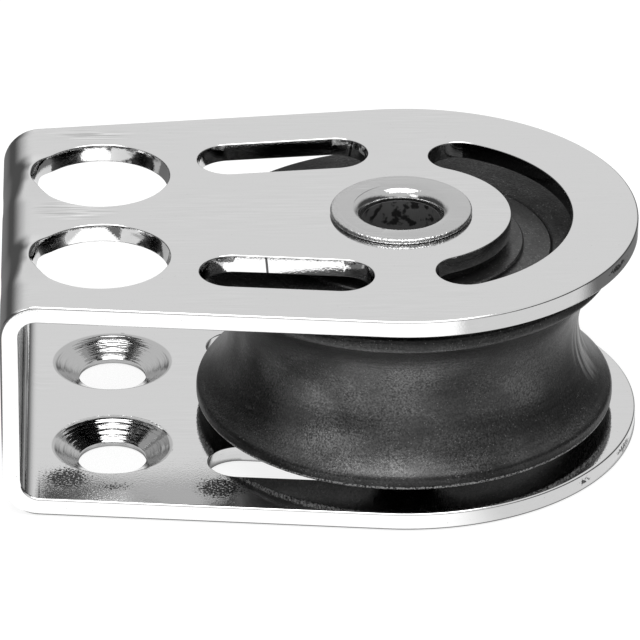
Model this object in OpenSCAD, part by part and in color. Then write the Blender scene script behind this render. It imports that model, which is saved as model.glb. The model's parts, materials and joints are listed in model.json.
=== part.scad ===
// Fixed lead block with one sheave, lying on its mounting face.
// One strip of sheet metal is bent into a U. A grooved sheave turns between its two cheeks on a
// caged roller bearing, round a spacer sleeve that a hollow rivet clamps between the cheeks.
// The origin is on the mounting face, midway between the two screw holes. +X points to the round
// end, +Z up through the sheave's axle. All sizes are in millimetres.

/* [Frame] */
// Length over all, from the web to the round end
block_len = 55.1; // [54:0.1:58]
// Height over both cheeks
block_h = 20.2; // [20:0.1:22]
// Thickness of the sheet
sheet_t = 1.6; // [1.4:0.1:1.7]
// Inside radius of the two bends
bend_r = 1.6; // [1:0.1:2]
// Width of the frame at the web
web_w = 33; // [32:0.2:36]
// Radius of the round end
nose_r = 20.15; // [19.6:0.05:21]
// Distance of the axle from the centre of the round end, towards the web
axle_inset = 0.05; // [0:0.05:0.5]

/* [Fastening] */
// Distance between the centres of the two screw holes
screw_gap = 15.2; // [14:0.2:16]
// Distance of the screw holes from the web's outer face
screw_setback = 9.4; // [9:0.1:10]
// Diameter of a screw hole
screw_d = 5.9; // [4.5:0.1:6]
// Diameter of a countersink at the top of the bottom cheek
countersink_d = 10.2; // [9:0.1:10.6]
// Straight length of a screw hole under its countersink
screw_land = 0.25; // [0.1:0.05:0.4]
// Diameter of a screw-access hole in the top cheek
access_d = 11.8; // [11:0.1:12.2]
// Distance of the access holes from the web's outer face
access_setback = 8.7; // [8.6:0.1:9]

/* [Slots] */
// Width of a straight slot
slot_w = 5.7; // [5:0.1:6]
// Length of a straight slot, end to end
slot_len = 15; // [12:0.5:16]
// Distance of a straight slot's middle from the web's outer face
slot_setback = 24.5; // [24:0.1:25]
// How much nearer to the axle the bottom cheek's straight slots lie
lower_slot_shift = 0.5; // [0:0.1:1]
// Distance of a straight slot's middle from the centre line
slot_offset = 11; // [10.6:0.1:11.4]
// Inner radius of the C-shaped slot
arc_slot_in = 9.2; // [9:0.1:10]
// Outer radius of the C-shaped slot
arc_slot_out = 14.5; // [14:0.1:15.5]
// Half the angle between the centres of the C-shaped slot's ends
arc_slot_half = 65; // [40:1:75]

/* [Rivet] */
// Outer diameter of the rivet's tube
rivet_d = 9; // [8.8:0.1:9.4]
// Bore through the rivet
rivet_bore = 6.8; // [6.4:0.1:7]
// Diameter of the rivet's flange
flange_d = 12.3; // [11.6:0.1:13]
// Height of the flange above the top cheek
flange_t = 0.6; // [0.4:0.05:0.8]
// Radius of the flared mouth
mouth_r = 1.1; // [0.8:0.1:1.2]
// Diameter of the flared tail in the bottom cheek
tail_d = 11.4; // [11:0.1:12]

/* [Sheave] */
// Outer diameter of the sheave
sheave_d = 36.3; // [35.5:0.1:37]
// Diameter at the bottom of the rope groove
groove_d = 30.3; // [30:0.1:32]
// Width of the rope groove, between the centres of its two rounded edges
groove_w = 12; // [11:0.2:12.4]
// Radius where the groove runs out into a rim
rim_r = 0.4; // [0.3:0.05:0.5]
// Radius of the rims' outer corners
corner_r = 0.55; // [0.3:0.05:0.6]
// Width of the sheave over its side faces
sheave_w = 14.5; // [14.2:0.1:14.6]
// Gap under the lower hub, where the sheave rests in the frame
rest_gap = 0.1; // [0.05:0.05:0.3]

/* [Bearing] */
// Outer diameter of the spacer sleeve
sleeve_d = 13; // [12.6:0.1:13]
// Diameter of a roller
roller_d = 2.6; // [2.4:0.1:2.6]
// Number of rollers
roller_n = 14; // [10:1:14]
// Running gap on each side of a roller
roller_gap = 0.05; // [0.02:0.01:0.08]
// Outer diameter of a bearing cover
cover_d = 25.4; // [24.6:0.1:26]
// Thickness of a bearing cover at its rim
cover_t = 1.6; // [1.2:0.1:1.8]
// Diameter of a cover's thrust boss
boss_d = 20.6; // [20:0.1:21]
// Height of the thrust boss above the cover
boss_h = 0.4; // [0.2:0.05:0.45]
// Diameter of the hub that bears on the cheek
hub_d = 17; // [16:0.5:18]
// Height of the hub above the thrust boss
hub_h = 0.65; // [0.4:0.05:0.7]

/* [Hidden] */
ROLLERS = [for (i = [1 : roller_n]) str("roller_", i < 10 ? "0" : "", i)];

steel = [0.80, 0.80, 0.80];
dark = [0.20, 0.20, 0.20];
ivory = [0.86, 0.84, 0.78];
fine = 120;
through = 1;
fit = 0.05;
bevel = 0.12;
sleeve_gap = 0.3;

web_x = -screw_setback;
nose_x = web_x + block_len - nose_r;
axle_x = nose_x - axle_inset;
bend_out = bend_r + sheet_t;
inside_h = block_h - 2 * sheet_t;

// The straight sides touch the round end at the angle nose_a, seen from the round end's centre.
side_run = nose_x - web_x;
side_far = norm([side_run, web_w / 2]);
nose_a = 180 - atan2(web_w / 2, side_run) - acos(nose_r / side_far);
splay = nose_a - 90;

mid_z = sheet_t + rest_gap + hub_h + boss_h + sheave_w / 2;
race_r = sleeve_d / 2 + roller_d + 2 * roller_gap;
pitch_r = sleeve_d / 2 + roller_d / 2 + roller_gap;
cavity_w = sheave_w - 2 * cover_t;
end_play = 0.15;
cage_w = cavity_w - 2 * end_play;
cage_end = 1;
roller_w = cage_w - 2 * cage_end - 2 * end_play;
cage_wall = 0.85;

// Plan outline of the frame: straight sides that widen from the web, and the round end.
module plan_outline() {
    tangent = nose_r * [cos(nose_a), sin(nose_a)];
    translate([nose_x, 0])
        circle(nose_r, $fn = fine);
    polygon([
        [web_x, -web_w / 2],
        [nose_x + tangent.x, -tangent.y],
        [nose_x, 0],
        [nose_x + tangent.x, tangent.y],
        [web_x, web_w / 2]
    ]);
}

// Side outline of a U lying on its side, open to the right: w wide, h high, with corners of radius r.
module u_outline(w, h, r) {
    translate([r, 0])
        square([w - r, h]);
    translate([0, r])
        square([r, h - 2 * r]);
    for (z = [r, h - r])
        translate([r, z])
            circle(r, $fn = fine);
}

// The bent sheet before any hole is cut.
module bent_sheet() {
    intersection() {
        linear_extrude(block_h)
            plan_outline();
        rotate([90, 0, 0])
            linear_extrude(3 * nose_r, center = true)
                translate([web_x, 0])
                    difference() {
                        u_outline(block_len + through, block_h, bend_out);
                        translate([sheet_t, sheet_t])
                            u_outline(block_len + through, inside_h, bend_r);
                    }
    }
}

// Outlines of the lightening slots that both cheeks share.
module slot_outlines(shift) {
    straight = slot_len - slot_w;
    for (side = [-1, 1])
        translate([web_x + slot_setback + shift, side * slot_offset])
            rotate(side * splay) {
                square([straight, slot_w], center = true);
                for (x = [-straight / 2, straight / 2])
                    translate([x, 0])
                        circle(slot_w / 2, $fn = fine);
            }
    arc_mid = (arc_slot_in + arc_slot_out) / 2;
    arc_w = arc_slot_out - arc_slot_in;
    translate([axle_x, 0]) {
        difference() {
            intersection() {
                circle(arc_slot_out, $fn = fine);
                wedge_outline(arc_slot_half, 2 * arc_slot_out);
            }
            circle(arc_slot_in, $fn = fine);
        }
        for (a = [-arc_slot_half, arc_slot_half])
            rotate(a)
                translate([arc_mid, 0])
                    circle(arc_w / 2, $fn = fine);
    }
}

// A wedge about +X that reaches past the length given.
module wedge_outline(half_angle, reach) {
    polygon([
        [0, 0],
        reach * [cos(half_angle), -sin(half_angle)],
        reach * [1, -1],
        reach * [1.5, 0],
        reach * [1, 1],
        reach * [cos(half_angle), sin(half_angle)]
    ]);
}

module cheek_frame() {
    color(steel)
        difference() {
            bent_sheet();
            for (cheek = [[-through, lower_slot_shift], [block_h - sheet_t - through, 0]])
                translate([0, 0, cheek[0]])
                    linear_extrude(sheet_t + 2 * through)
                        slot_outlines(cheek[1]);
            for (side = [-1, 1]) {
                translate([0, side * screw_gap / 2, 0])
                    screw_hole();
                translate([web_x + access_setback, side * screw_gap / 2, block_h - sheet_t - through])
                    cylinder(d = access_d, h = sheet_t + 2 * through, $fn = fine);
            }
            translate([axle_x, 0, 0])
                rivet_holes();
        }
}

// A through hole with its countersink, in the bottom cheek.
module screw_hole() {
    rotate_extrude($fn = fine)
        polygon([
            [0, -through],
            [screw_d / 2, -through],
            [screw_d / 2, screw_land],
            [countersink_d / 2, sheet_t],
            [countersink_d / 2, sheet_t + through],
            [0, sheet_t + through]
        ]);
}

// The rivet's holes: straight through the top cheek, and widening downwards in the bottom one.
module rivet_holes() {
    hole_r = rivet_d / 2 + fit;
    translate([0, 0, block_h - sheet_t - through])
        cylinder(r = hole_r, h = sheet_t + 2 * through, $fn = fine);
    rotate_extrude($fn = fine)
        polygon([
            [0, -through],
            [tail_d / 2 + fit + through, -through],
            [tail_d / 2 + fit, 0],
            [hole_r, tail_d / 2 - rivet_d / 2],
            [hole_r, sheet_t + through],
            [0, sheet_t + through]
        ]);
}

module hollow_rivet() {
    tube_r = rivet_d / 2;
    bore_r = rivet_bore / 2;
    top_z = block_h + flange_t;
    tail_flare = tail_d / 2 - tube_r;
    edge_r = flange_t / 2;
    color(steel)
        translate([axle_x, 0, 0])
            rotate_extrude($fn = fine)
                difference() {
                    union() {
                        square([tube_r, top_z]);
                        translate([0, block_h])
                            square([flange_d / 2 - edge_r, flange_t]);
                        translate([flange_d / 2 - edge_r, block_h + edge_r])
                            circle(edge_r, $fn = fine);
                        polygon([[0, 0], [tail_d / 2, 0], [tube_r, tail_flare], [0, tail_flare]]);
                    }
                    translate([0, -through])
                        square([bore_r, top_z + 2 * through]);
                    polygon([
                        [0, -through],
                        [bore_r + tail_flare + through, -through],
                        [bore_r, tail_flare]
                    ]);
                    translate([0, top_z - mouth_r])
                        mouth_outline(bore_r, mouth_r);
                }
}

// What the flared mouth takes away: a quarter round between the bore and the flange's top face.
module mouth_outline(bore_r, r) {
    difference() {
        square([bore_r + r, r + through]);
        translate([bore_r + r, 0])
            circle(r, $fn = fine);
    }
}

module spacer_sleeve() {
    color(steel)
        translate([axle_x, 0, sheet_t])
            difference() {
                cylinder(d = sleeve_d, h = inside_h, $fn = fine);
                translate([0, 0, -through])
                    cylinder(r = rivet_d / 2 + fit, h = inside_h + 2 * through, $fn = fine);
            }
}

// The sheave's section: two rims with a hollow groove between them, a seat for each bearing cover
// and the bore that the rollers run in. The hollow touches the round edges that lead it into the rims.
module sheave_outline() {
    rim_x = sheave_d / 2 - rim_r;
    rim_z = groove_w / 2;
    floor_x = groove_d / 2;
    lift = rim_x - floor_x;
    groove_r = (pow(lift, 2) + pow(rim_z, 2) - pow(rim_r, 2)) / (2 * (lift + rim_r));
    to_rim = [rim_x - floor_x - groove_r, rim_z];
    touch = [floor_x + groove_r, 0] + groove_r * to_rim / norm(to_rim);
    seat_x = cover_d / 2 + fit;
    side_z = sheave_w / 2;
    seat_z = side_z - cover_t;
    corner_x = sheave_d / 2 - corner_r;
    corner_z = side_z - corner_r;
    difference() {
        union() {
            polygon([
                [race_r, -seat_z],
                [seat_x, -seat_z],
                [seat_x, -side_z],
                [corner_x, -side_z],
                [corner_x, -corner_z],
                [sheave_d / 2, -corner_z],
                [sheave_d / 2, -rim_z],
                [rim_x, -rim_z],
                [touch.x, -touch.y],
                touch,
                [rim_x, rim_z],
                [sheave_d / 2, rim_z],
                [sheave_d / 2, corner_z],
                [corner_x, corner_z],
                [corner_x, side_z],
                [seat_x, side_z],
                [seat_x, seat_z],
                [race_r, seat_z]
            ]);
            for (side = [-1, 1]) {
                translate([rim_x, side * rim_z])
                    circle(rim_r, $fn = fine);
                translate([corner_x, side * corner_z])
                    circle(corner_r, $fn = fine);
            }
        }
        translate([floor_x + groove_r, 0])
            circle(groove_r, $fn = 2 * fine);
    }
}

module sheave() {
    color(dark)
        translate([axle_x, 0, mid_z])
            rotate_extrude($fn = fine)
                sheave_outline();
}

// A ring that closes the bearing, with a raised thrust boss and a hub on it, facing up.
module bearing_cover() {
    bore_r = sleeve_d / 2 + sleeve_gap;
    rim_r = cover_d / 2;
    boss_r = boss_d / 2;
    boss_z = cover_t + boss_h;
    hub_r = hub_d / 2;
    hub_z = boss_z + hub_h;
    rotate_extrude($fn = fine)
        polygon([
            [bore_r, 0],
            [rim_r, 0],
            [rim_r, cover_t - bevel],
            [rim_r - bevel, cover_t],
            [boss_r, cover_t],
            [boss_r, boss_z - bevel],
            [boss_r - bevel, boss_z],
            [hub_r, boss_z],
            [hub_r, hub_z - bevel],
            [hub_r - bevel, hub_z],
            [bore_r + bevel, hub_z],
            [bore_r, hub_z - bevel]
        ]);
}

module upper_bearing_cover() {
    color(dark)
        translate([axle_x, 0, mid_z + cavity_w / 2])
            bearing_cover();
}

module lower_bearing_cover() {
    color(dark)
        translate([axle_x, 0, mid_z - cavity_w / 2])
            mirror([0, 0, 1])
                bearing_cover();
}

// A tube with an open pocket for each roller and a closed ring at each end.
module roller_cage() {
    pocket_d = roller_d + 4 * roller_gap;
    pocket_w = cage_w - 2 * cage_end;
    color(ivory)
        translate([axle_x, 0, mid_z - cage_w / 2])
            difference() {
                cylinder(r = pitch_r + cage_wall, h = cage_w, $fn = fine);
                translate([0, 0, -through])
                    cylinder(r = pitch_r - cage_wall, h = cage_w + 2 * through, $fn = fine);
                for (i = [0 : roller_n - 1])
                    rotate(i * 360 / roller_n)
                        translate([pitch_r, 0, cage_end])
                            cylinder(d = pocket_d, h = pocket_w, $fn = fine);
            }
}

module roller(i) {
    color(steel)
        translate([axle_x, 0, mid_z - roller_w / 2])
            rotate(i * 360 / roller_n)
                translate([pitch_r, 0, 0])
                    cylinder(d = roller_d, h = roller_w, $fn = fine);
}

cheek_frame();
hollow_rivet();
spacer_sleeve();
sheave();
upper_bearing_cover();
lower_bearing_cover();
roller_cage();
for (i = [0 : roller_n - 1])
    roller(i);
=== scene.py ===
import json
import math
import bpy
from mathutils import Matrix, Vector


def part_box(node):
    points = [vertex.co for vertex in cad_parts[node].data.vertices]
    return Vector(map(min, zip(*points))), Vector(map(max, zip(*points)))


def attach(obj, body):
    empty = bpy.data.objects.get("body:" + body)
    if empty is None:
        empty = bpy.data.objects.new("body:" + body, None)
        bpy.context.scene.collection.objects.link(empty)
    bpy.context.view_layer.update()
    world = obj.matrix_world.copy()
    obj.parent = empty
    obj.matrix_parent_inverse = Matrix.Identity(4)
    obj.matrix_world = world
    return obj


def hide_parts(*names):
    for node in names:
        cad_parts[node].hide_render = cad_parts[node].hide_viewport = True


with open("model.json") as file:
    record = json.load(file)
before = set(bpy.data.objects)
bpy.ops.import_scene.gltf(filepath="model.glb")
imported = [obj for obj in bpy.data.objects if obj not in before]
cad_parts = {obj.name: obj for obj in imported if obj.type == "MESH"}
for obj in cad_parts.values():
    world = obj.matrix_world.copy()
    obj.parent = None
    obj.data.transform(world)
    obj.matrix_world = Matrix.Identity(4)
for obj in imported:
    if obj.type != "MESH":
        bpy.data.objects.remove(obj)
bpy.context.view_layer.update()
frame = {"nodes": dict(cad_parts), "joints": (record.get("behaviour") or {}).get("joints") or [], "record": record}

# Looks of a fixed lead block: a polished steel sheet bent into a U, with a dark grooved sheave between its
# cheeks. Shapes are worked out in millimetres in the frame's own axes: x from the web to the round end, z up
# the axle.

mm = 0.001
weld = mm / 1000        # points nearer than this become one
hair = 0.1              # mm by which a pattern's limit clears the face that it is for
clear = 1               # mm by which a cutter stands out of the sheet
smoothAngle = 30        # degrees; sharper edges stay sharp
bpy.context.scene.view_settings.view_transform = "Standard"

joints = {joint["name"]: joint for joint in frame["joints"]}
mounts = {mount["name"]: mount for mount in frame["record"]["mounts"]}
axle = Vector(joints["sheave_spin"]["pos_m"]) / mm      # middle of the sheave
sheetLow, sheetHigh = [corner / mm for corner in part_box("cheek_frame")]


# Shapes are drawn as by hand: a point is set down, pulled along lines and swung round arcs.

def placePoint(name, start):
    bpy.ops.object.select_all(action="DESELECT")
    bpy.ops.mesh.primitive_plane_add(size=mm)
    piece = bpy.context.object
    piece.name = piece.data.name = name
    bpy.ops.object.mode_set(mode="EDIT")
    bpy.ops.mesh.merge(type="CENTER")
    bpy.ops.transform.translate(value=Vector(start) * mm)
    return piece


def pullBy(offset):
    bpy.ops.mesh.extrude_region_move(TRANSFORM_OT_translate={"value": Vector(offset) * mm})


def drawLine(name, start, moves):
    # a move is a point to pull to, or a centre, an axis, a right-handed angle in degrees and a count of steps
    piece = placePoint(name, start)
    here = Vector(start)
    for move in moves:
        if len(move) == 3:
            pullBy(Vector(move) - here)
            here = Vector(move)
        else:
            centre, axis, degrees, steps = move
            turn = math.radians(degrees)
            # spin counts its angle against the right hand
            bpy.ops.mesh.spin(steps=steps, angle=-turn, center=Vector(centre) * mm, axis=axis)
            here = Matrix.Rotation(turn, 3, Vector(axis)) @ (here - Vector(centre)) + Vector(centre)
    bpy.ops.mesh.select_all(action="SELECT")
    bpy.ops.mesh.remove_doubles(threshold=weld)
    return piece


def closeShape(piece):
    bpy.ops.mesh.select_all(action="SELECT")
    bpy.ops.mesh.remove_doubles(threshold=weld)
    bpy.ops.mesh.normals_make_consistent(inside=False)
    bpy.ops.object.mode_set(mode="OBJECT")
    return piece


def pullSolid(name, start, moves, pull):
    piece = drawLine(name, start, moves)
    bpy.ops.mesh.edge_face_add()
    pullBy(pull)
    return closeShape(piece)


def spinSolid(name, start, moves, centre, axis, steps):
    piece = drawLine(name, start, moves)
    bpy.ops.mesh.spin(steps=steps, angle=math.tau, center=Vector(centre) * mm, axis=axis)
    return closeShape(piece)


def makeActive(piece):
    bpy.ops.object.select_all(action="DESELECT")
    piece.select_set(True)
    bpy.context.view_layer.objects.active = piece


def applyModifier(piece, kind, **settings):
    makeActive(piece)
    modifier = piece.modifiers.new(kind, kind)
    for name, value in settings.items():
        setattr(modifier, name, value)
    bpy.ops.object.modifier_apply(modifier=modifier.name)


def cutOut(piece, cutters):
    for cutter in cutters:
        applyModifier(piece, "BOOLEAN", operation="DIFFERENCE", solver="EXACT", object=cutter)
        bpy.data.objects.remove(cutter)


def smoothOver(piece):
    makeActive(piece)
    bpy.ops.object.shade_smooth_by_angle(angle=math.radians(smoothAngle))
    applyModifier(piece, "WEIGHTED_NORMAL", mode="FACE_AREA", keep_sharp=True)


def finishPiece(piece, body, slot, material, *nodes):
    piece.data.materials.clear()
    piece.data.materials.append(material)
    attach(piece, body)
    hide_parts(*nodes)
    print("made", piece.name, "of", len(piece.data.polygons), "faces")


def linear(colour):
    channels = [int(colour[i:i + 2], 16) / 255 for i in (1, 3, 5)]
    return [c / 12.92 if c <= 0.04045 else ((c + 0.055) / 1.055) ** 2.4 for c in channels] + [1]


def addNode(tree, kind, inputs={}, **settings):
    # an input is a plain value, a socket or a node, of which the first output in use is linked;
    # a mix node takes its share at 0, its numbers at 2 and 3 and its colours at 6 and 7
    node = tree.nodes.new(kind)
    for name, value in settings.items():
        setattr(node, name, value)
    for socket, value in inputs.items():
        if isinstance(value, bpy.types.Node):
            value = next(output for output in value.outputs if output.enabled)
        if isinstance(value, bpy.types.NodeSocket):
            tree.links.new(value, node.inputs[socket])
        else:
            node.inputs[socket].default_value = value
    return node


def between(ends):
    # the span of a noise or a distance that a map range is given
    return {"From Min": ends[0], "From Max": ends[1]}


def newMaterial(name, origin=Vector()):
    # with a node that gives each place in mm from the origin
    material = bpy.data.materials.new(name)
    material.use_nodes = True
    tree = material.node_tree
    tree.nodes.clear()
    place = addNode(tree, "ShaderNodeMapping", {
        "Vector": addNode(tree, "ShaderNodeTexCoord").outputs["Object"],
        "Location": -origin, "Scale": [1 / mm] * 3})
    return material, tree, place


sheet = {
    "thickness": 1.6,
    "bend": 2.4,            # radius of the bend at mid-thickness
    "width": 33.0,          # at the web
    "splay": 6.17,          # degrees that each side opens towards the round end
    "noseRadius": 20.15,
    "edge": 0.22,           # rounding of the outline's edges
    "holeEdge": 0.12,
    "bendSteps": 20,
    "noseSteps": 120,
    "slotSteps": 32,
    "arcSteps": (72, 24),   # along the slot and round its ends
    "holeSteps": 128,
    "edgeSteps": 4,
    "edgeAngle": 35,        # degrees; only sharper edges are rounded
    "slotLength": 15.0,
    "slotWidth": 5.7,
    "slotSetback": 24.5,    # from the web's outer face to the middle of a slot
    "lowerShift": 0.5,      # the bottom cheek's slots lie so much nearer to the axle
    "slotOffset": 11.0,
    "arcInner": 9.2,
    "arcOuter": 14.5,
    "arcHalf": 65.0,        # degrees to each side of the nose
    "accessRadius": 5.9,
    "accessSetback": 8.7,
    "rimLift": 12.0,        # degrees by which the rim beside a bend springs open again
    "rimReach": 3.6,        # how far round that rim the sheet follows
    "rimPivot": (0.6, 0.95),    # from the web's outer face and from the top
    # what is turned lies further back than this from the hole's middle, less aside, and this near its edge
    "rimHold": (5.0, 0.9, 0.3),
    "gridGap": 0.45,        # mm from one edge of the grid to the next
    "gridAcross": (2.0, 13.5),      # from the middle line
    "gridShort": 1.5,       # the grid ends so far short of the hole's middle
    "taper": 0.18,          # by how much a punched hole is narrower at the inner face
    "cutDepths": (-1, 3),   # where a round cutter starts and ends, from the sheet's outer face
    "screwRadius": 2.95,
    "sinkRadius": 5.1,
    "sinkLip": (5.35, 0.06),    # worn edge round a countersink: radius and depth
    "sinkShift": 0.3,       # the countersinks were bored so much off the holes' centres
    "sinkLand": 0.25,       # height of the straight part under the countersink
    "sinkRings": 8,         # turned steps left in a countersink
    "ringShare": 0.6,       # part of a step's height that is the steeper one
    "ringTilt": 0.04,
    "rivetRadius": 4.55,
    "tailRadius": 5.75,
    "tailDepth": 1.2,
}
screwGap = mounts["screw_holes"]["dims"]["spacing_y_mm"] / 2
webX = sheetLow.x


# Stainless sheet, polished with a fine mop after forming: a mirror whose fine grain frays the edges of what
# it reflects, with buffing lines left in patches, a slow waviness from the press and turning marks in the
# screw holes.
sheetLook = {
    "colour": "#cdcdcd",
    "roughness": 0.05,
    "grain": 0.14,          # mm across; the real grain is finer than a pixel
    "grainDepth": 0.004,    # mm
    "wave": 6.0,            # mm
    "waveDepth": 0.02,      # mm
    "lineGap": 0.28,        # mm from one buffing line to the next; the real ones are too fine to show
    "lineLength": 4.0,      # mm
    "lineDepth": 0.001,     # mm
    "linePatch": 8.0,       # mm across a patch of lines
    "patchRange": (0.45, 0.7),      # of the patches' noise
    "patchStrength": (0.02, 0.1),   # of the lines, at the two ends of that range
    "lineContrast": 0.25,   # depth of line at which its painted shade and painted highlight are full
    "lineRough": 0.04,
    "markGap": 0.3,         # mm from one turning mark to the next
    "markTurns": 1.5,       # how often a mark changes in a turn
    "markDepth": 0.04,      # mm
    "turned": "#b2b2b2",    # a countersink was left as it was turned, less bright than the mopped faces
    "lineShadeAndHighlight": ("#a2a2a2", "#f4f4f4"),      # painted shade in the bottom of a buffing line and painted highlight on its crest
    "scuffs": [             # spots painted with dark reflections, speckled and rougher; middle and half sizes, mm
        (-3.0, 1.0, 20.2, 4.0, 2.4, 2.0), (-1.8, 15.4, 20.2, 4.4, 1.3, 2.0)],
    "pits": [               # where the polish missed the pickled skin
        (-3.9, -13.3, 1.6, 2.9, 3.0, 0.4), (9.3, -15.2, 1.6, 3.2, 2.8, 0.4),
        (0.1, -14.8, 1.8, 3.4, 1.4, 0.4), (41.4, -13.6, 0.9, 1.8, 1.2, 0.6),
        (44.6, -7.4, 0.9, 1.8, 2.6, 0.6), (43.9, -9.6, 19.5, 1.8, 3.4, 0.5)],
    "darkReflection": "#343434",
    "darkReflectionGap": 0.2,          # mm
    "darkReflectionShare": 0.38,       # how much a spot adds to the pits' noise
    "darkReflectionRange": (0.74, 0.84),   # of that sum, from bright metal to painted dark reflection
    "darkReflectionRough": 0.3,
    "wall": "#484848",      # painted shade on the outer wall of a C-shaped slot
    "slotShadeBand": 0.08,       # mm to each side of that wall
    "bore": (0.0, 0.0),     # mm, radius and height within which the bore is painted with shade: dark, rougher and not metallic
    "boreFade": 0.06,       # mm
    "grease": ("#0e0e0e", "#4c4c4c"),
    "boreShadeRough": 0.4,
    "blotGap": 0.909,       # mm
    "blotRange": (0.4, 0.46),       # of the blots' noise, from the first painted shade colour to the second
    "rag": (90.0, 99.0),    # mm, radius from which the edge is ragged by the forming tool
    "ragDepth": 0.0,
}
rivetLook = {
    **sheetLook, "colour": "#b4b4b4", "roughness": 0.1, "grainDepth": 0.008, "wave": 1.6, "waveDepth": 0.02,
    "linePatch": 3.0, "lineDepth": 0.003, "scuffs": [], "pits": [], "bore": (3.9, 19.65),
    "rag": (5.6, 5.9), "ragDepth": 0.07}
sleeveLook = {
    **sheetLook, "colour": "#b8b8b8", "roughness": 0.25, "lineDepth": 0.002, "scuffs": [], "pits": []}
spotCore = 0.4          # share of a spot's size within which it is at full strength


def ringNoise(tree, place, gap, turns, detail):
    # streaks that run in rings round the z axis, a gap apart, and that change so many times in a turn
    flat = addNode(tree, "ShaderNodeVectorMath", {0: place, 1: (1, 1, 0)}, operation="MULTIPLY")
    radius = addNode(tree, "ShaderNodeVectorMath", {0: flat}, operation="LENGTH").outputs["Value"]
    bearing = addNode(tree, "ShaderNodeVectorMath", {0: flat}, operation="NORMALIZE")
    turned = addNode(tree, "ShaderNodeVectorMath", {0: bearing, "Scale": turns}, operation="SCALE")
    across = addNode(tree, "ShaderNodeVectorMath", {
        0: place, 1: (0, 0, 1 / gap), 2: turned}, operation="MULTIPLY_ADD")
    outward = addNode(tree, "ShaderNodeMath", {0: radius, 1: gap}, operation="DIVIDE")
    streaks = addNode(tree, "ShaderNodeTexNoise", {
        "Vector": across, "W": outward, "Scale": 1.0, "Detail": detail}, noise_dimensions="4D")
    return streaks, radius


def nearSpots(tree, place, spots, start):
    # as strong as 1 inside the spots, less towards their edges
    strength = start
    for x, y, z, *halfSizes in spots:
        near = addNode(tree, "ShaderNodeMapping", {
            "Vector": place, "Location": (x, y, z), "Scale": halfSizes}, vector_type="TEXTURE")
        near = addNode(tree, "ShaderNodeVectorMath", {0: near}, operation="LENGTH").outputs["Value"]
        near = addNode(tree, "ShaderNodeMapRange", {
            "Value": near, "From Min": spotCore, "From Max": 1.0, "To Min": 1.0, "To Max": 0.0})
        strength = addNode(tree, "ShaderNodeMath", {0: strength, 1: near}, operation="MAXIMUM")
    return strength


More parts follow.
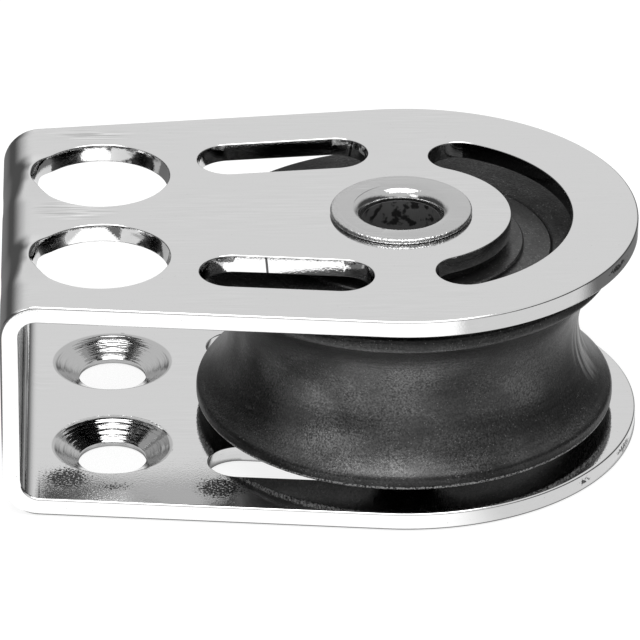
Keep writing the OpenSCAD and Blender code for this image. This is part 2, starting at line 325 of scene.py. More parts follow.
def makeSteel(name, look):
    material, tree, place = newMaterial(name)
    grain = addNode(tree, "ShaderNodeTexNoise", {"Vector": place, "Scale": 1 / look["grain"], "Detail": 1.0})
    wave = addNode(tree, "ShaderNodeTexNoise", {"Vector": place, "Scale": 1 / look["wave"], "Detail": 0.0})
    along = addNode(tree, "ShaderNodeMapping", {
        "Vector": place, "Scale": [1 / look["lineLength"], 1 / look["lineGap"], 1 / look["lineGap"]]})
    lines = addNode(tree, "ShaderNodeTexNoise", {"Vector": along, "Scale": 1.0, "Detail": 2.0})
    patches = addNode(tree, "ShaderNodeTexNoise", {
        "Vector": place, "Scale": 1 / look["linePatch"], "Detail": 1.0})
    worn = addNode(tree, "ShaderNodeMapRange", {
        "Value": patches, **between(look["patchRange"]),
        "To Min": look["patchStrength"][0], "To Max": look["patchStrength"][1]})
    worn = nearSpots(tree, place, look["scuffs"], worn)
    scored = addNode(tree, "ShaderNodeMath", {0: lines, 1: 0.5}, operation="SUBTRACT")
    scored = addNode(tree, "ShaderNodeMath", {0: scored, 1: worn}, operation="MULTIPLY")

    # spots painted with dark reflections, speckled by noise, and rougher there
    pitted = nearSpots(tree, place, look["pits"], 0.0)
    skin = addNode(tree, "ShaderNodeTexNoise", {"Vector": place, "Scale": 1 / look["darkReflectionGap"], "Detail": 2.0})
    pits = addNode(tree, "ShaderNodeMath", {
        0: pitted, 1: look["darkReflectionShare"], 2: skin}, operation="MULTIPLY_ADD")
    pits = addNode(tree, "ShaderNodeMapRange", {"Value": pits, **between(look["darkReflectionRange"])})

    # turning marks round both screw holes
    folded = addNode(tree, "ShaderNodeVectorMath", {
        0: place, 1: (0, sheet["sinkShift"], 0)}, operation="SUBTRACT")
    folded = addNode(tree, "ShaderNodeVectorMath", {0: folded}, operation="ABSOLUTE")
    holes = addNode(tree, "ShaderNodeVectorMath", {0: folded, 1: (0, screwGap, 0)}, operation="SUBTRACT")
    marks, radius = ringNoise(tree, holes, look["markGap"], look["markTurns"], 2.0)
    sunk = addNode(tree, "ShaderNodeMapRange", {
        "Value": radius, "From Min": sheet["sinkRadius"] + hair, "From Max": sheet["sinkLip"][0] - hair / 2,
        "To Min": look["markDepth"], "To Max": 0.0})
    height = addNode(tree, "ShaderNodeSeparateXYZ", {0: place}).outputs["Z"]
    low = addNode(tree, "ShaderNodeMath", {0: height, 1: sheet["thickness"] + hair}, operation="LESS_THAN")
    turned = addNode(tree, "ShaderNodeMath", {0: sunk, 1: low}, operation="MULTIPLY")

    # patterns that follow the distance from the axle
    aside = addNode(tree, "ShaderNodeVectorMath", {0: place, 1: (axle.x, 0, 0)}, operation="SUBTRACT")
    aside = addNode(tree, "ShaderNodeVectorMath", {0: aside, 1: (1, 1, 0)}, operation="MULTIPLY")
    aside = addNode(tree, "ShaderNodeVectorMath", {0: aside}, operation="LENGTH").outputs["Value"]
    # painted shade down the rivet's bore: dark mottled colour, rougher and not metallic
    bore, boreTop = look["bore"]
    greasy = addNode(tree, "ShaderNodeMapRange", {
        "Value": aside, "From Min": bore, "From Max": bore + look["boreFade"], "To Min": 1.0, "To Max": 0.0})
    under = addNode(tree, "ShaderNodeMapRange", {
        "Value": height, "From Min": boreTop, "From Max": boreTop - hair})
    greasy = addNode(tree, "ShaderNodeMath", {0: greasy, 1: under}, operation="MULTIPLY")
    ragged = addNode(tree, "ShaderNodeMapRange", {
        "Value": aside, **between(look["rag"]), "To Min": look["grainDepth"], "To Max": look["ragDepth"]})
    # painted shade on the outer wall of each C-shaped slot, below the top face
    wall = addNode(tree, "ShaderNodeMath", {
        0: aside, 1: sheet["arcOuter"], 2: look["slotShadeBand"]}, operation="COMPARE")
    below = addNode(tree, "ShaderNodeMath", {0: height, 1: sheetHigh.z - hair}, operation="LESS_THAN")
    wall = addNode(tree, "ShaderNodeMath", {0: wall, 1: below}, operation="MULTIPLY")

    relief = addNode(tree, "ShaderNodeMath", {0: grain, 1: ragged}, operation="MULTIPLY")
    for pattern, depth in ((wave, look["waveDepth"]), (scored, look["lineDepth"]), (marks, turned)):
        relief = addNode(tree, "ShaderNodeMath", {0: pattern, 1: depth, 2: relief}, operation="MULTIPLY_ADD")
    bump = addNode(tree, "ShaderNodeBump", {"Height": relief, "Distance": mm})
    rough = look["roughness"]
    for pattern, share in (
            (worn, look["lineRough"]), (pits, look["darkReflectionRough"]), (greasy, look["boreShadeRough"])):
        rough = addNode(tree, "ShaderNodeMath", {0: pattern, 1: share, 2: rough}, operation="MULTIPLY_ADD")

    # painted shade in the bottom of each buffing line and painted highlight on its crest
    deep, crest = [addNode(tree, "ShaderNodeMapRange", {
        "Value": scored, "From Min": 0.0, "From Max": end * look["lineContrast"]}) for end in (-1, 1)]
    cut = addNode(tree, "ShaderNodeMapRange", {"Value": turned, "From Max": look["markDepth"]})
    blots = addNode(tree, "ShaderNodeTexNoise", {
        "Vector": place, "Scale": 1 / look["blotGap"], "Detail": 3.0})
    mottled = addNode(tree, "ShaderNodeMapRange", {"Value": blots, **between(look["blotRange"])})
    grease = addNode(tree, "ShaderNodeMix", {
        0: mottled, 6: linear(look["grease"][0]), 7: linear(look["grease"][1])}, data_type="RGBA")
    colour = linear(look["colour"])
    for share, shade in (
            (deep, linear(look["lineShadeAndHighlight"][0])), (crest, linear(look["lineShadeAndHighlight"][1])),
            (pits, linear(look["darkReflection"])), (cut, linear(look["turned"])), (wall, linear(look["wall"])),
            (greasy, grease)):
        colour = addNode(tree, "ShaderNodeMix", {0: share, 6: colour, 7: shade}, data_type="RGBA")
    metallic = addNode(tree, "ShaderNodeMath", {0: 1.0, 1: greasy}, operation="SUBTRACT")
    shader = addNode(tree, "ShaderNodeBsdfPrincipled", {
        "Base Color": colour, "Metallic": metallic, "Roughness": rough, "Normal": bump})
    addNode(tree, "ShaderNodeOutputMaterial", {"Surface": shader})
    return material


# The sheave has a round groove that runs out into two rims.
sheave = {
    "bore": 9.2,
    "seatRadius": 12.75,    # pockets for the bearing covers
    "seatHalf": 5.65,
    "faceHalf": 7.25,
    "radius": 18.15,
    "corner": 0.35,         # rounding of a rim's outer corner
    "grooveFloor": 15.15,
    "grooveRadius": 7.8,
    "grooveRound": 0.7,     # rounding that leads from a rim into the groove, worn wide by the rope
    "chamfer": 0.12,
    "steps": 180,
    "cornerSteps": 8,
    "roundSteps": 6,
    "grooveSteps": 44,
}


# Acetal, moulded and coloured nearly black: a semi-gloss skin that rope has rubbed in streaks round the axle,
# with a greyer bloom in soft patches and pin-points of dust and salt.
sheaveLook = {
    "dark": "#080808",
    "bloom": "#1c1c1c",
    "speck": "#585858",
    "worn": "#a0a0a0",      # painted highlight on the lower rim's corner
    "roughness": 0.36,
    "cloudRough": 0.2,      # how much less rough the thickest clouds of bloom are than the rubbed skin
    "refraction": 1.48,
    "shine": (0.58, 0.92),  # from rubbed to bloomed
    "sides": (5.7, 6.9),    # mm from the middle: the side faces were left dull by the mould
    "sideShine": 0.32,      # what the shine is multiplied by there
    "streakGap": 0.35,      # mm from one streak to the next
    "streakTurns": 6.0,     # how often a streak changes in a turn
    "streakShare": 0.7,     # of the streaks in the bloom
    "cloud": 4.5,           # mm across a patch of bloom
    "bloomRange": (0.85, 1.35),     # of the clouds, streaks and grain together
    "grain": 0.17,          # mm across; about two pixels, coarser than the real grain
    "grainDepth": 0.02,     # mm
    "grainShare": 0.5,      # of the grain in the bloom
    "grit": (0.5, 1.5),     # shine from one grain to the next, where it is bloomed
    "gritRange": (0.3, 0.7),        # of the grain's noise
    "sandRange": (0.42, 0.6),       # of the clouds' noise, from least to most grit
    "sandLeast": 0.25,
    "streakDepth": 0.012,   # mm
    "speckGap": 0.22,       # mm from one place where a speck may be to the next
    "speckSize": 0.3,       # as a share of that gap, for the largest
    "speckCloud": 1.6,      # how strongly specks keep to the bloom
    "speckLimit": 1.42,     # fewer specks if higher
    "cornerBand": (0.4, 0.3),       # mm above the lower side face, from none of the painted highlight to all of it
    "cornerDepth": 0.2,     # mm
    "rimHighlightRange": (0.4, 0.6),       # of the grain's noise
    "patches": [            # middle and half sizes, mm from the axle's middle, and a factor for the shine
        (12.5, -9.5, 3.2, 6.5, 7.0, 4.4, 0.38), (4.5, -14.7, 1.2, 5.5, 4.0, 3.0, 0.6),
        (5.7, -16.3, -5.2, 4.8, 3.5, 2.4, 0.5), (-14.8, -5.5, 0.0, 4.0, 5.0, 4.5, 0.6),
        (-9.2, -13.0, -3.0, 4.0, 4.0, 4.0, 2.4)],
    "fans": [(15.6, -1.9, -0.6, 3.2, 3.6, 4.8)],    # where grit in the rope has scored the groove crosswise; the scores get a painted highlight and more shine
    "fanGap": 6.0,          # mm along a score
    "fanTurns": 30.0,       # how often they change in a turn
    "fanShine": (0.35, 2.6),
    "scoreRange": (0.46, 0.62),     # of the scores' noise
    # painted highlight along the scores
    "scoreHighlight": "#a8a8a8",
}
coverLook = {
    **sheaveLook, "dark": "#0c0c0c", "bloom": "#1c1c1c", "streakDepth": 0.003, "grainDepth": 0.004,
    "sides": (90, 99), "shine": (0.42, 0.66), "patches": [], "fans": []}
cageLook = {**coverLook, "dark": "#161616", "bloom": "#202020", "roughness": 0.5}
rollerLook = {**coverLook, "dark": "#d2cfc6", "bloom": "#e0ddd4", "speck": "#efede6", "roughness": 0.35}


def makePlastic(name, look):
    material, tree, place = newMaterial(name, axle)
    streaks, radius = ringNoise(tree, place, look["streakGap"], look["streakTurns"], 3.0)
    clouds = addNode(tree, "ShaderNodeTexNoise", {
        "Vector": place, "Scale": 1 / look["cloud"], "Detail": 5.0, "Roughness": 0.6})
    grain = addNode(tree, "ShaderNodeTexNoise", {"Vector": place, "Scale": 1 / look["grain"], "Detail": 1.0})

    # specks of dust, more of them where it is bloomed
    dust = addNode(tree, "ShaderNodeTexVoronoi", {"Vector": place, "Scale": 1 / look["speckGap"]})
    chance = dust.outputs["Color"]
    size = addNode(tree, "ShaderNodeMath", {0: chance, 1: look["speckSize"]}, operation="MULTIPLY")
    near = addNode(tree, "ShaderNodeMath", {0: dust.outputs["Distance"], 1: size}, operation="LESS_THAN")
    luck = addNode(tree, "ShaderNodeMath", {
        0: clouds, 1: look["speckCloud"], 2: chance}, operation="MULTIPLY_ADD")
    few = addNode(tree, "ShaderNodeMath", {0: luck, 1: look["speckLimit"]}, operation="GREATER_THAN")
    specks = addNode(tree, "ShaderNodeMath", {0: near, 1: few}, operation="MULTIPLY")

    # bloom, between the places that are rubbed
    worn = addNode(tree, "ShaderNodeMath", {
        0: streaks, 1: look["streakShare"], 2: clouds}, operation="MULTIPLY_ADD")
    worn = addNode(tree, "ShaderNodeMath", {
        0: grain, 1: look["grainShare"], 2: worn}, operation="MULTIPLY_ADD")
    bloom = addNode(tree, "ShaderNodeMapRange", {"Value": worn, **between(look["bloomRange"])})

    # painted highlight along the lower corner, broken up by the grain
    level = addNode(tree, "ShaderNodeSeparateXYZ", {0: place}).outputs["Z"]
    corner = addNode(tree, "ShaderNodeMapRange", {
        "Value": level, "From Min": look["cornerBand"][0] - sheave["faceHalf"],
        "From Max": look["cornerBand"][1] - sheave["faceHalf"]})
    outmost = addNode(tree, "ShaderNodeMath", {
        0: radius, 1: sheave["radius"] - look["cornerDepth"]}, operation="GREATER_THAN")
    chafed = addNode(tree, "ShaderNodeMapRange", {"Value": grain, **between(look["rimHighlightRange"])})
    outmost = addNode(tree, "ShaderNodeMath", {0: outmost, 1: chafed}, operation="MULTIPLY")
    corner = addNode(tree, "ShaderNodeMath", {0: corner, 1: outmost}, operation="MULTIPLY")

    # scores across the groove, painted with a highlight
    scores = ringNoise(tree, place, look["fanGap"], look["fanTurns"], 3.0)[0]
    scores = addNode(tree, "ShaderNodeMapRange", {"Value": scores, **between(look["scoreRange"])})
    fanned = nearSpots(tree, place, look["fans"], 0.0)
    scored = addNode(tree, "ShaderNodeMath", {0: scores, 1: fanned}, operation="MULTIPLY")

    colour = linear(look["dark"])
    for share, shade in ((bloom, look["bloom"]), (specks, look["speck"]), (corner, look["worn"]),
                         (scored, look["scoreHighlight"])):
        colour = addNode(tree, "ShaderNodeMix", {0: share, 6: colour, 7: linear(shade)}, data_type="RGBA")
    height = addNode(tree, "ShaderNodeMath", {0: grain, 1: look["grainDepth"]}, operation="MULTIPLY")
    height = addNode(tree, "ShaderNodeMath", {
        0: streaks, 1: look["streakDepth"], 2: height}, operation="MULTIPLY_ADD")
    bump = addNode(tree, "ShaderNodeBump", {"Height": height, "Distance": mm})
    rough = addNode(tree, "ShaderNodeMath", {
        0: clouds, 1: -look["cloudRough"], 2: look["roughness"] + look["cloudRough"] / 2},
        operation="MULTIPLY_ADD")

    # the shine is a product of these factors
    skin = addNode(tree, "ShaderNodeMapRange", {
        "Value": bloom, "To Min": look["shine"][0], "To Max": look["shine"][1]})
    level = addNode(tree, "ShaderNodeMath", {0: level}, operation="ABSOLUTE")
    inward = addNode(tree, "ShaderNodeMapRange", {
        "Value": level, **between(look["sides"]), "To Min": 1.0, "To Max": look["sideShine"]})
    gritty = addNode(tree, "ShaderNodeMapRange", {
        "Value": grain, **between(look["gritRange"]),
        "To Min": look["grit"][0], "To Max": look["grit"][1]})
    sandy = addNode(tree, "ShaderNodeMapRange", {
        "Value": clouds, **between(look["sandRange"]), "To Min": look["sandLeast"]})
    scores = addNode(tree, "ShaderNodeMix", {
        0: scores, 2: look["fanShine"][0], 3: look["fanShine"][1]}, data_type="FLOAT")
    patches = [(nearSpots(tree, place, [spot], 0.0), factor) for *spot, factor in look["patches"]]
    shine = addNode(tree, "ShaderNodeMath", {0: skin, 1: inward}, operation="MULTIPLY")
    for share, factor in [(sandy, gritty), *patches, (fanned, scores)]:
        factor = addNode(tree, "ShaderNodeMix", {0: share, 2: 1.0, 3: factor}, data_type="FLOAT")
        shine = addNode(tree, "ShaderNodeMath", {0: shine, 1: factor}, operation="MULTIPLY")
    shader = addNode(tree, "ShaderNodeBsdfPrincipled", {
        "Base Color": colour, "Roughness": rough, "IOR": look["refraction"],
        "Specular IOR Level": shine, "Normal": bump})
    addNode(tree, "ShaderNodeOutputMaterial", {"Surface": shader})
    return material


sheetSteel = makeSteel("mop-polished stainless sheet", sheetLook)
rivetSteel = makeSteel("formed stainless tube", rivetLook)
sleeveSteel = makeSteel("ground stainless tube", sleeveLook)
sheavePlastic = makePlastic("moulded black acetal", sheaveLook)
coverPlastic = makePlastic("moulded black acetal cover", coverLook)
cagePlastic = makePlastic("moulded black nylon", cageLook)
rollerPlastic = makePlastic("turned natural acetal", rollerLook)

# the sleeve, the cage and the rollers keep their own shapes
for name, node in frame["nodes"].items():
    plain = {"spacer_sleeve": sleeveSteel, "roller_cage": cagePlastic}.get(name)
    if name.startswith("roller_") and plain is None:
        plain = rollerPlastic
    for slot in node.material_slots:
        slot.material = plain or slot.material
print("materials ready")


# The cheek frame is cut flat, its edges are rounded, and then it is bent as the real sheet is.

midX = webX + sheet["thickness"] / 2
midZ = (sheetLow.z + sheetHigh.z) / 2
bendOut = sheet["bend"] + sheet["thickness"] / 2
webHalf = (sheetHigh.z - sheetLow.z) / 2 - bendOut
bendArc = sheet["bend"] * math.pi / 2
cheekStart = webX + bendOut
noseCentre = sheetHigh.x - sheet["noseRadius"]
splay = math.radians(sheet["splay"])


def flatZ(x, side):
    # where a point x along the upper (side 1) or lower (side -1) cheek lies before bending
    return midZ + side * (webHalf + bendArc + x - cheekStart)


def sheetOutline():
    halfWeb = sheet["width"] / 2
    halfBend = halfWeb + bendOut * math.tan(splay)
    noseY = sheet["noseRadius"] * math.cos(splay)
    noseX = noseCentre - sheet["noseRadius"] * math.sin(splay)
    swing = 180 + 2 * sheet["splay"]
    points = []
    for side in (1, -1):
        fold, bend = midZ + side * webHalf, flatZ(cheekStart, side)
        points += [
            (webX, side * halfWeb, fold), (webX, side * halfBend, bend),
            (webX, side * noseY, flatZ(noseX, side)),
            ((webX, 0, flatZ(noseCentre, side)), (1, 0, 0), swing, sheet["noseSteps"]),
            (webX, -side * halfBend, bend), (webX, -side * halfWeb, fold)]
    return points[0], points[1:] + points[:1]


def slotCutter(side, cheek):
    start = webX - clear
    steps = sheet["slotSteps"]
    radius = sheet["slotWidth"] / 2
    reach = sheet["slotLength"] / 2 - radius
    setback = sheet["slotSetback"] + (0 if cheek > 0 else sheet["lowerShift"])
    centre = Vector((start, side * sheet["slotOffset"], flatZ(webX + setback, cheek)))
    along = Vector((0, side * math.sin(splay), cheek * math.cos(splay)))
    beside = Vector((0, along.z, -along.y))
    far = centre + along * reach
    near = centre - along * reach
    first = far + beside * radius
    drawLine("slot", first, [
        (far, (1, 0, 0), 180, steps), near - beside * radius, (near, (1, 0, 0), 180, steps), first])
    bpy.ops.mesh.edge_face_add()
    pullBy((clear, 0, 0))
    pullBy((sheet["thickness"], 0, 0))
    # a punched hole narrows through the sheet
    narrow, short = 1 - sheet["taper"] / radius, 1 - sheet["taper"] / (reach + radius)
    bpy.ops.transform.resize(value=(1, narrow, short), center_override=centre * mm)
    pullBy((clear, 0, 0))
    return closeShape(bpy.context.object)


def arcCutter(cheek):
    centre = Vector((webX - clear, 0, flatZ(axle.x, cheek)))
    long, short = sheet["arcSteps"]
    half = sheet["arcHalf"]
    middle = (sheet["arcInner"] + sheet["arcOuter"]) / 2
    ahead = Vector((0, 0, cheek))
    first = Matrix.Rotation(math.radians(-half), 3, "X") @ ahead
    last = Matrix.Rotation(math.radians(half), 3, "X") @ ahead
    return pullSolid("arc", centre + first * sheet["arcOuter"], [
        (centre, (1, 0, 0), 2 * half, long), (centre + last * middle, (1, 0, 0), 180, short),
        (centre, (1, 0, 0), -2 * half, long), (centre + first * middle, (1, 0, 0), 180, short)],
        (sheet["thickness"] + 2 * clear, 0, 0))


def roundCutter(y, z, profile):
    # profile: distance from the outer face and radius
    first, *rest = [(webX + depth, y + radius, z) for depth, radius in profile]
    return spinSolid("round", first, rest, (webX, y, z), (1, 0, 0), sheet["holeSteps"])


def sinkProfile():
    thickness, land, hole = sheet["thickness"], sheet["sinkLand"], sheet["screwRadius"]
    lip, lipDepth = sheet["sinkLip"]
    rise = (thickness - lipDepth - land) / sheet["sinkRings"]
    run = (sheet["sinkRadius"] - hole) / sheet["sinkRings"]
    points = [(land, 0), (land, hole)]
    for ring in range(sheet["sinkRings"]):
        share = sheet["ringShare"]
        points += [
            (land + rise * (ring + share), hole + run * (ring + share) - sheet["ringTilt"]),
            (land + rise * (ring + 1), hole + run * (ring + 1))]
    return points + [(thickness, lip), (thickness + clear, lip + 2 * clear), (thickness + clear, 0)]


def roundEdges(piece, width):
    # only edges that are still sharp
    applyModifier(
        piece, "BEVEL", width=width * mm, segments=sheet["edgeSteps"], limit_method="ANGLE",
        angle_limit=math.radians(sheet["edgeAngle"]), use_clamp_overlap=False)


def makeFrame():
    piece = pullSolid("cheekFrame", *sheetOutline(), (sheet["thickness"], 0, 0))
    roundEdges(piece, sheet["edge"])
    cutters = [slotCutter(side, cheek) for side in (1, -1) for cheek in (1, -1)]
    cutters += [arcCutter(1), arcCutter(-1)]
    outside, inside = sheet["cutDepths"]
    wide, narrow = sheet["accessRadius"], sheet["accessRadius"] - sheet["taper"]
    through = [
        (outside, 0), (outside, wide), (0, wide), (sheet["thickness"], narrow), (inside, narrow), (inside, 0)]
    access = flatZ(webX + sheet["accessSetback"], 1)
    cutters += [roundCutter(side * screwGap, access, through) for side in (1, -1)]
    cutOut(piece, cutters)
    roundEdges(piece, sheet["holeEdge"])
    print("flat sheet cut and edges rounded")
    rivetHole, screwHole = [
        [(outside, 0), (outside, radius), (inside, radius), (inside, 0)]
        for radius in (sheet["rivetRadius"], sheet["screwRadius"])]
    flare = sheet["tailRadius"] + sheet["tailDepth"] - sheet["rivetRadius"]
    tail = [
        (outside, 0), (outside, flare), (sheet["tailDepth"], sheet["rivetRadius"]),
        (inside, sheet["rivetRadius"]), (inside, 0)]
    cutOut(piece, [roundCutter(0, flatZ(axle.x, 1), rivetHole), roundCutter(0, flatZ(axle.x, -1), tail)])
    for side in (1, -1):
        cutOut(piece, [
            roundCutter(side * screwGap, flatZ(0, -1), screwHole),
            roundCutter(side * screwGap + sheet["sinkShift"], flatZ(0, -1), sinkProfile())])
    scoreBends(piece)
    gridRims(piece)
    for side in (1, -1):
        bendCheek(piece, side)
    for side in (1, -1):
        raiseRim(piece, side)
    smoothOver(piece)
    finishPiece(piece, "frame", "frame_steel", sheetSteel, "cheek_frame")


def cutAcross(height):
    bpy.ops.mesh.select_all(action="SELECT")
    bpy.ops.mesh.bisect(plane_co=(0, 0, height * mm), plane_no=(0, 0, 1))


def scoreBends(piece):
    # the sheet needs edges across it where it is to curve
    makeActive(piece)
    bpy.ops.object.mode_set(mode="EDIT")
    for side in (1, -1):
        for step in range(sheet["bendSteps"] + 1):
            cutAcross(midZ + side * (webHalf + bendArc * step / sheet["bendSteps"]))
    bpy.ops.object.mode_set(mode="OBJECT")


def gridRims(piece):
    # a finer mesh where the rims of the access holes are raised
    low, high = midZ + webHalf, flatZ(webX + sheet["accessSetback"] - sheet["gridShort"], 1)
    makeActive(piece)
    bpy.ops.object.mode_set(mode="EDIT")
    height = flatZ(cheekStart, 1)
    while height < high:
        cutAcross(height)
        height += sheet["gridGap"]
    across, end = sheet["gridAcross"]
    while across < end:
        for side in (1, -1):
            bpy.ops.object.mode_set(mode="OBJECT")
            for face in piece.data.polygons:
                face.select = low < face.center.z / mm < height - sheet["gridGap"]
            bpy.ops.object.mode_set(mode="EDIT")
            bpy.ops.mesh.bisect(plane_co=(0, side * across * mm, 0), plane_no=(0, 1, 0))
        across += sheet["gridGap"]
    bpy.ops.object.mode_set(mode="OBJECT")
    print("grid round the access holes")


def raiseRim(piece, side):
    makeActive(piece)
    bpy.ops.object.mode_set(mode="EDIT")
    bpy.ops.mesh.select_mode(type="VERT")
    bpy.ops.mesh.select_all(action="DESELECT")
    bpy.ops.object.mode_set(mode="OBJECT")
    middle = Vector((webX + sheet["accessSetback"], side * screwGap))
    back, beside, out = sheet["rimHold"]
    for corner in piece.data.vertices:
        spot = corner.co / mm
        away = spot.xy - middle
        held = away.x < -back and abs(away.y) < beside and away.length < sheet["accessRadius"] + out
        corner.select = held and spot.z > midZ
    bpy.ops.object.mode_set(mode="EDIT")
    pivot = Vector((webX + sheet["rimPivot"][0], 0, sheetHigh.z - sheet["rimPivot"][1])) * mm
    bpy.ops.transform.rotate(
        value=math.radians(sheet["rimLift"]), orient_axis="Y", orient_type="GLOBAL", center_override=pivot,
        use_proportional_edit=True, proportional_edit_falloff="SMOOTH",
        proportional_size=sheet["rimReach"] * mm)
    bpy.ops.object.mode_set(mode="OBJECT")


def bendCheek(piece, side):
    start = midZ + side * webHalf
    reach = [side * (corner.co.z / mm - start) for corner in piece.data.vertices]
    low, high = min(reach), max(reach)
    # turned over, the hinge bends the lower cheek the other way
    turn = 0 if side > 0 else math.pi
    bpy.ops.object.empty_add(location=(midX * mm, 0, start * mm), rotation=(turn, 0, 0))
    hinge = bpy.context.object
    bpy.context.view_layer.update()
    applyModifier(
        piece, "SIMPLE_DEFORM", deform_method="BEND", deform_axis="Y", origin=hinge, angle=math.pi / 2,
        limits=(-low / (high - low), (bendArc - low) / (high - low)))
    bpy.data.objects.remove(hinge)
    print("bent cheek", side)


makeFrame()


def makeSheave():
    back = (0, -1, 0)
    radius, corner, lip = sheave["radius"], sheave["corner"], sheave["grooveRound"]
    half, face = sheave["seatHalf"], sheave["faceHalf"]
    seat, chamfer = sheave["seatRadius"], sheave["chamfer"]
    cornerSteps, roundSteps = sheave["cornerSteps"], sheave["roundSteps"]
    # the rounding touches the groove's hollow
    hollow = sheave["grooveFloor"] + sheave["grooveRadius"]
    apart = hollow - radius + lip
    groove = math.sqrt((sheave["grooveRadius"] + lip) ** 2 - apart ** 2)
    turn = 2 * math.degrees(math.atan2(groove, apart))

    def spot(distance, height):
        return axle + Vector((distance, 0, height))

    start = spot(sheave["bore"], -half)
    piece = spinSolid("grooveSheave", start, [
        spot(seat, -half), spot(seat, chamfer - face), spot(seat + chamfer, -face),
        spot(radius - corner, -face), (spot(radius - corner, corner - face), back, 90, cornerSteps),
        spot(radius, -groove), (spot(radius - lip, -groove), back, turn / 2, roundSteps),
        (spot(hollow, 0), back, -turn, sheave["grooveSteps"]),
        (spot(radius - lip, groove), back, turn / 2, roundSteps), spot(radius, face - corner),
        (spot(radius - corner, face - corner), back, 90, cornerSteps),
        spot(seat + chamfer, face), spot(seat, face - chamfer), spot(seat, half),
        spot(sheave["bore"], half), start], axle, (0, 0, 1), sheave["steps"])
    smoothOver(piece)
    finishPiece(piece, "sheave", "sheave_plastic", sheavePlastic, "sheave")


makeSheave()


# A bearing cover sits in each side of the sheave, with a raised thrust boss and a hub inside it.

cover = {
    "bore": 6.8,
    "radius": 12.7,
    "inner": 5.65,          # from the middle of the sheave
    "outer": 7.25,
    "bossRadius": 10.3,
    "boss": 0.4,
    "hubRadius": 8.5,
    "hub": 0.65,
    "chamfer": 0.12,
    "steps": 144,
}


def makeCover(name, node, side):
    bevel, bore, radius = cover["chamfer"], cover["bore"], cover["radius"]
    bossRadius, hubRadius = cover["bossRadius"], cover["hubRadius"]
    inner, outer = cover["inner"], cover["outer"]
    step = outer + cover["boss"]
    top = step + cover["hub"]
    profile = [
        (bore, inner), (radius, inner), (radius, outer - bevel), (radius - bevel, outer),
        (bossRadius, outer), (bossRadius, step - bevel), (bossRadius - bevel, step),
        (hubRadius, step), (hubRadius, top - bevel), (hubRadius - bevel, top),
        (bore + bevel, top), (bore, top - bevel)]
    first, *rest = [axle + Vector((away, 0, side * height)) for away, height in profile]
    piece = spinSolid(name, first, rest + [first], axle, (0, 0, 1), cover["steps"])
    smoothOver(piece)
    finishPiece(piece, "sheave", "cover_plastic", coverPlastic, node)


makeCover("upperCover", "upper_bearing_cover", 1)
makeCover("lowerCover", "lower_bearing_cover", -1)


# The hollow rivet is a tube flanged over at the top, with a rounded mouth, and flared under the lower cheek.

rivet = {
    "bore": mounts["axle_bore"]["dims"]["r_mm"],
    "radius": 4.5,
    "flangeRadius": 6.15,
    "flange": 0.5,
    "flangeRound": 0.25,
    "mouth": 1.1,
    "curl": [(0.2, 0), (0.06, 0.06), (0.02, 0.12), (0.06, 0.17)],    # in from the flange's edge, and up
    "lean": 0.33,           # the flange was formed so much off centre, towards the web
    "leanDepth": 0.7,       # what is pushed aside starts so far under the flange
    "leanClear": 0.05,      # the barrel's own face, this thick, stays where it is
    "tailRadius": 5.7,
    "tailBore": 4.9,
    "tail": 1.2,
    "steps": 144,
    "roundSteps": 6,
    "mouthSteps": 12,
}


def makeRivet():
    back = (0, -1, 0)
    under = sheetHigh.z
    top = under + rivet["flange"]
    mouth = rivet["bore"] + rivet["mouth"]
    rim = rivet["flangeRadius"] - rivet["flangeRound"]

    def spot(radius, height):
        return Vector((axle.x + radius, 0, height))

    start = spot(rivet["bore"], rivet["tail"])
    curl = [spot(rivet["flangeRadius"] - inward, under + rise) for inward, rise in rivet["curl"]]
    piece = spinSolid("hollowRivet", start, [
        spot(rivet["tailBore"], 0), spot(rivet["tailRadius"], 0), spot(rivet["radius"], rivet["tail"]),
        spot(rivet["radius"], under), *curl, spot(rivet["flangeRadius"], top - rivet["flangeRound"]),
        (spot(rim, top - rivet["flangeRound"]), back, 90, rivet["roundSteps"]), spot(mouth, top),
        (spot(mouth, top - rivet["mouth"]), back, 90, rivet["mouthSteps"]), start],
        axle, (0, 0, 1), rivet["steps"])
    # the flange and the mouth lean together
    for corner in piece.data.vertices:
        away = (corner.co.xy / mm - axle.xy).length
        high = corner.co.z / mm > under - rivet["leanDepth"]
        corner.select = high and abs(away - rivet["radius"]) > rivet["leanClear"]
    for part in (*piece.data.edges, *piece.data.polygons):
        part.select = False
    makeActive(piece)
    bpy.ops.object.mode_set(mode="EDIT")
    bpy.ops.mesh.select_mode(type="VERT")
    bpy.ops.transform.translate(value=(-rivet["lean"] * mm, 0, 0))
    bpy.ops.object.mode_set(mode="OBJECT")
    smoothOver(piece)
    finishPiece(piece, "frame", "rivet_steel", rivetSteel, "hollow_rivet")


makeRivet()


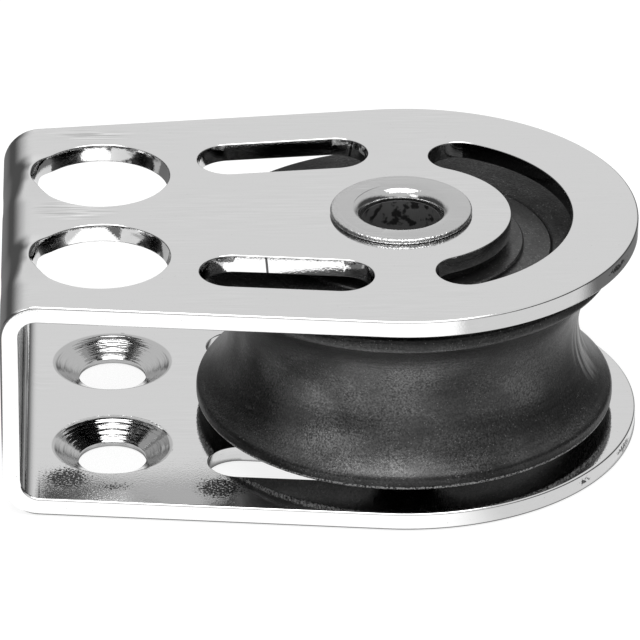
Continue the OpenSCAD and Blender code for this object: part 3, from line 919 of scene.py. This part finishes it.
studio = {
    "floorSize": 4000,
    "floorDrop": 0.1,
    "floorBounce": "#7c7c7c",   # what the floor gives back of the light, so that the shadow stays faint
    "floorGlow": 0.84,
    "skyOnObject": 0.75,
    "poolGlow": 1.75,           # sheet of bright paper in front, as polished metal sees it
    "poolEdge": (19.0, 27.0),   # mm, x at which it ends, beside the axle
    "poolSkew": 0.42,           # how fast that end runs to the right on the way to the camera
    "poolBack": (-16.0, -8.0),  # mm, y at which it ends
    "dimEdge": (0.5, -3.5),     # mm, x at which the floor behind goes dim to the left
    "dimBack": (8.0, 18.0),     # mm, y at which it does
    "dimLeft": (-17.0, -23.0),  # mm, x at which it is dim in front too
    "dimRight": (46.0, 58.0),   # mm, x at which it goes dim to the right
    "dimRightBack": (-14.0, 0.0),
    "dimNear": 0.22,            # what the dim floor gives
    "dimFar": 0.1,
    "dimReach": (20.0, 150.0),  # mm, y from which the dim floor darkens and at which it is darkest
    "contactReach": 0.5,        # mm round the block's foot in which the floor is shaded
    "contactPower": 3.0,
    "contactSamples": 8,
    "skyAside": 0.5,            # how far aside the falling off starts to matter
    "skyDrop": 1.2,
    "skyEdge": (0.1, 0.36),     # from even white to falling off
    "lampEnergy": 4.0,          # for a radiance of 1, over the lamp's area
    "cameraSensor": 36,
    "cameraLens": 488.2,
    "cameraAim": (18.156, 0, 9.74),
    "cameraAway": 755.05,
    "cameraTurn": -1.158,       # degrees from the block's side
    "cameraRise": 28.05,
}
# height and glow
skySteps = [(0.0, 0.1), (0.03, 0.12), (0.12, 0.27), (0.26, 0.67), (0.37, 0.93), (0.47, 1.0)]
lamps = [
    {"name": "overhead", "place": (20, -110, 330), "aim": (20, 0, 0), "size": (280, 220), "radiance": 4.0},
    {"name": "left", "place": (-150, -220, 150), "aim": (25, 0, 10), "size": (90, 110), "radiance": 1.5},
]


def seenPlainly(tree):
    # 1 for what the camera sees itself, and 1 for what polished faces mirror
    rays = addNode(tree, "ShaderNodeLightPath").outputs
    plain = addNode(tree, "ShaderNodeMath", {
        0: rays["Is Camera Ray"], 1: rays["Is Transmission Ray"]}, operation="MAXIMUM")
    return plain, rays["Is Glossy Ray"]


def paperMaterial(name):
    # matt white paper, evenly white to the eye; polished metal sees it bright in front and dim far behind
    material, tree, place = newMaterial(name)
    plain, glossy = seenPlainly(tree)
    x, y = addNode(tree, "ShaderNodeSeparateXYZ", {0: place}).outputs[:2]
    skewed = addNode(tree, "ShaderNodeMath", {0: y, 1: studio["poolSkew"], 2: x}, operation="MULTIPLY_ADD")
    spans = {}
    for span, value in (
            ("poolEdge", skewed), ("poolBack", y), ("dimEdge", x), ("dimBack", y), ("dimRight", x),
            ("dimRightBack", y), ("dimLeft", x), ("dimReach", y)):
        # 0 up to its first end and 1 from its second on
        spans[span] = addNode(tree, "ShaderNodeMapRange", {
            "Value": value, **between(studio[span])}, interpolation_type="SMOOTHSTEP")
    outside = addNode(tree, "ShaderNodeMath", {
        0: spans["poolEdge"], 1: spans["poolBack"]}, operation="MAXIMUM")
    pool = addNode(tree, "ShaderNodeMix", {0: outside, 2: studio["poolGlow"], 3: 1.0}, data_type="FLOAT")
    dim = spans["dimLeft"]
    for across, back in (("dimEdge", "dimBack"), ("dimRight", "dimRightBack")):
        corner = addNode(tree, "ShaderNodeMath", {0: spans[across], 1: spans[back]}, operation="MULTIPLY")
        dim = addNode(tree, "ShaderNodeMath", {0: dim, 1: corner}, operation="MAXIMUM")
    faint = addNode(tree, "ShaderNodeMix", {
        0: spans["dimReach"], 2: studio["dimNear"], 3: studio["dimFar"]}, data_type="FLOAT")
    mirrored = addNode(tree, "ShaderNodeMix", {0: dim, 2: pool, 3: faint}, data_type="FLOAT")
    contact = addNode(tree, "ShaderNodeAmbientOcclusion", {
        "Distance": studio["contactReach"] * mm}, samples=studio["contactSamples"])
    shade = addNode(tree, "ShaderNodeMath", {
        0: contact.outputs["AO"], 1: studio["contactPower"]}, operation="POWER")
    mirrored = addNode(tree, "ShaderNodeMath", {0: mirrored, 1: shade}, operation="MULTIPLY")
    glow = addNode(tree, "ShaderNodeMath", {0: mirrored, 1: glossy}, operation="MULTIPLY")
    glow = addNode(tree, "ShaderNodeMath", {
        0: plain, 1: studio["floorGlow"], 2: glow}, operation="MULTIPLY_ADD")
    matt = addNode(tree, "ShaderNodeMix", {
        0: glossy, 6: linear(studio["floorBounce"]), 7: (0, 0, 0, 1)}, data_type="RGBA")
    shader = addNode(tree, "ShaderNodeBsdfPrincipled", {
        "Base Color": matt, "Roughness": 1.0, "Specular IOR Level": 0.0,
        "Emission Color": (1, 1, 1, 1), "Emission Strength": glow})
    addNode(tree, "ShaderNodeOutputMaterial", {"Surface": shader})
    return material


def makeFloor():
    bpy.ops.object.select_all(action="DESELECT")
    bpy.ops.mesh.primitive_plane_add(
        size=studio["floorSize"] * mm, location=(0, 0, -studio["floorDrop"] * mm))
    floor = bpy.context.object
    floor.name = "floor"
    bpy.ops.object.transform_apply(location=True)
    floor.data.materials.append(paperMaterial("white paper sweep"))


def makeWorld():
    # white all round to the eye; polished metal sees it fall off low down at the left and the right
    world = bpy.data.worlds.new("studio")
    bpy.context.scene.world = world
    world.use_nodes = True
    tree = world.node_tree
    tree.nodes.clear()
    plain, glossy = seenPlainly(tree)
    toward = addNode(tree, "ShaderNodeTexCoord").outputs["Generated"]
    x, _, z = addNode(tree, "ShaderNodeSeparateXYZ", {0: toward}).outputs
    aside = addNode(tree, "ShaderNodeMath", {0: x}, operation="ABSOLUTE")
    sideways = addNode(tree, "ShaderNodeMath", {
        0: aside, 1: studio["skyAside"]}, operation="SUBTRACT", use_clamp=True)
    raised = addNode(tree, "ShaderNodeMath", {
        0: sideways, 1: -studio["skyDrop"], 2: z}, operation="MULTIPLY_ADD")
    level = addNode(tree, "ShaderNodeValToRGB", {0: raised})
    marks = level.color_ramp.elements
    for height, glow in skySteps[2:]:
        marks.new(height)
    for mark, (height, glow) in zip(marks, skySteps):
        mark.position = height
        mark.color = (glow, glow, glow, 1)
    falling = addNode(tree, "ShaderNodeMapRange", {
        "Value": aside, **between(studio["skyEdge"])}, interpolation_type="SMOOTHSTEP")
    mirrored = addNode(tree, "ShaderNodeMix", {
        0: falling, 2: 1.0, 3: level.outputs["Color"]}, data_type="FLOAT")
    glow = addNode(tree, "ShaderNodeMix", {
        0: glossy, 2: studio["skyOnObject"], 3: mirrored}, data_type="FLOAT")
    glow = addNode(tree, "ShaderNodeMix", {0: plain, 2: glow, 3: 1.0}, data_type="FLOAT")
    sky = addNode(tree, "ShaderNodeBackground", {"Color": (1, 1, 1, 1), "Strength": glow})
    addNode(tree, "ShaderNodeOutputWorld", {"Surface": sky})


def addLamp(lamp):
    away = Vector(lamp["aim"]) - Vector(lamp["place"])
    bpy.ops.object.light_add(
        type="AREA", location=Vector(lamp["place"]) * mm, rotation=away.to_track_quat("-Z", "Y").to_euler())
    light = bpy.context.object
    light.name = lamp["name"]
    light.data.shape = "RECTANGLE"
    light.data.size, light.data.size_y = [side * mm for side in lamp["size"]]
    light.data.energy = lamp["radiance"] * studio["lampEnergy"] * light.data.size * light.data.size_y
    light.visible_camera = False


def addCamera():
    turn, rise = math.radians(studio["cameraTurn"]), math.radians(studio["cameraRise"])
    back = Vector((math.sin(turn) * math.cos(rise), -math.cos(turn) * math.cos(rise), math.sin(rise)))
    place = (Vector(studio["cameraAim"]) + back * studio["cameraAway"]) * mm
    bpy.ops.object.camera_add(location=place, rotation=(-back).to_track_quat("-Z", "Y").to_euler())
    camera = bpy.context.object
    camera.data.lens = studio["cameraLens"]
    camera.data.sensor_width = studio["cameraSensor"]
    bpy.context.scene.camera = camera


makeFloor()
makeWorld()
for lamp in lamps:
    addLamp(lamp)
addCamera()
print("floor, light and camera ready")
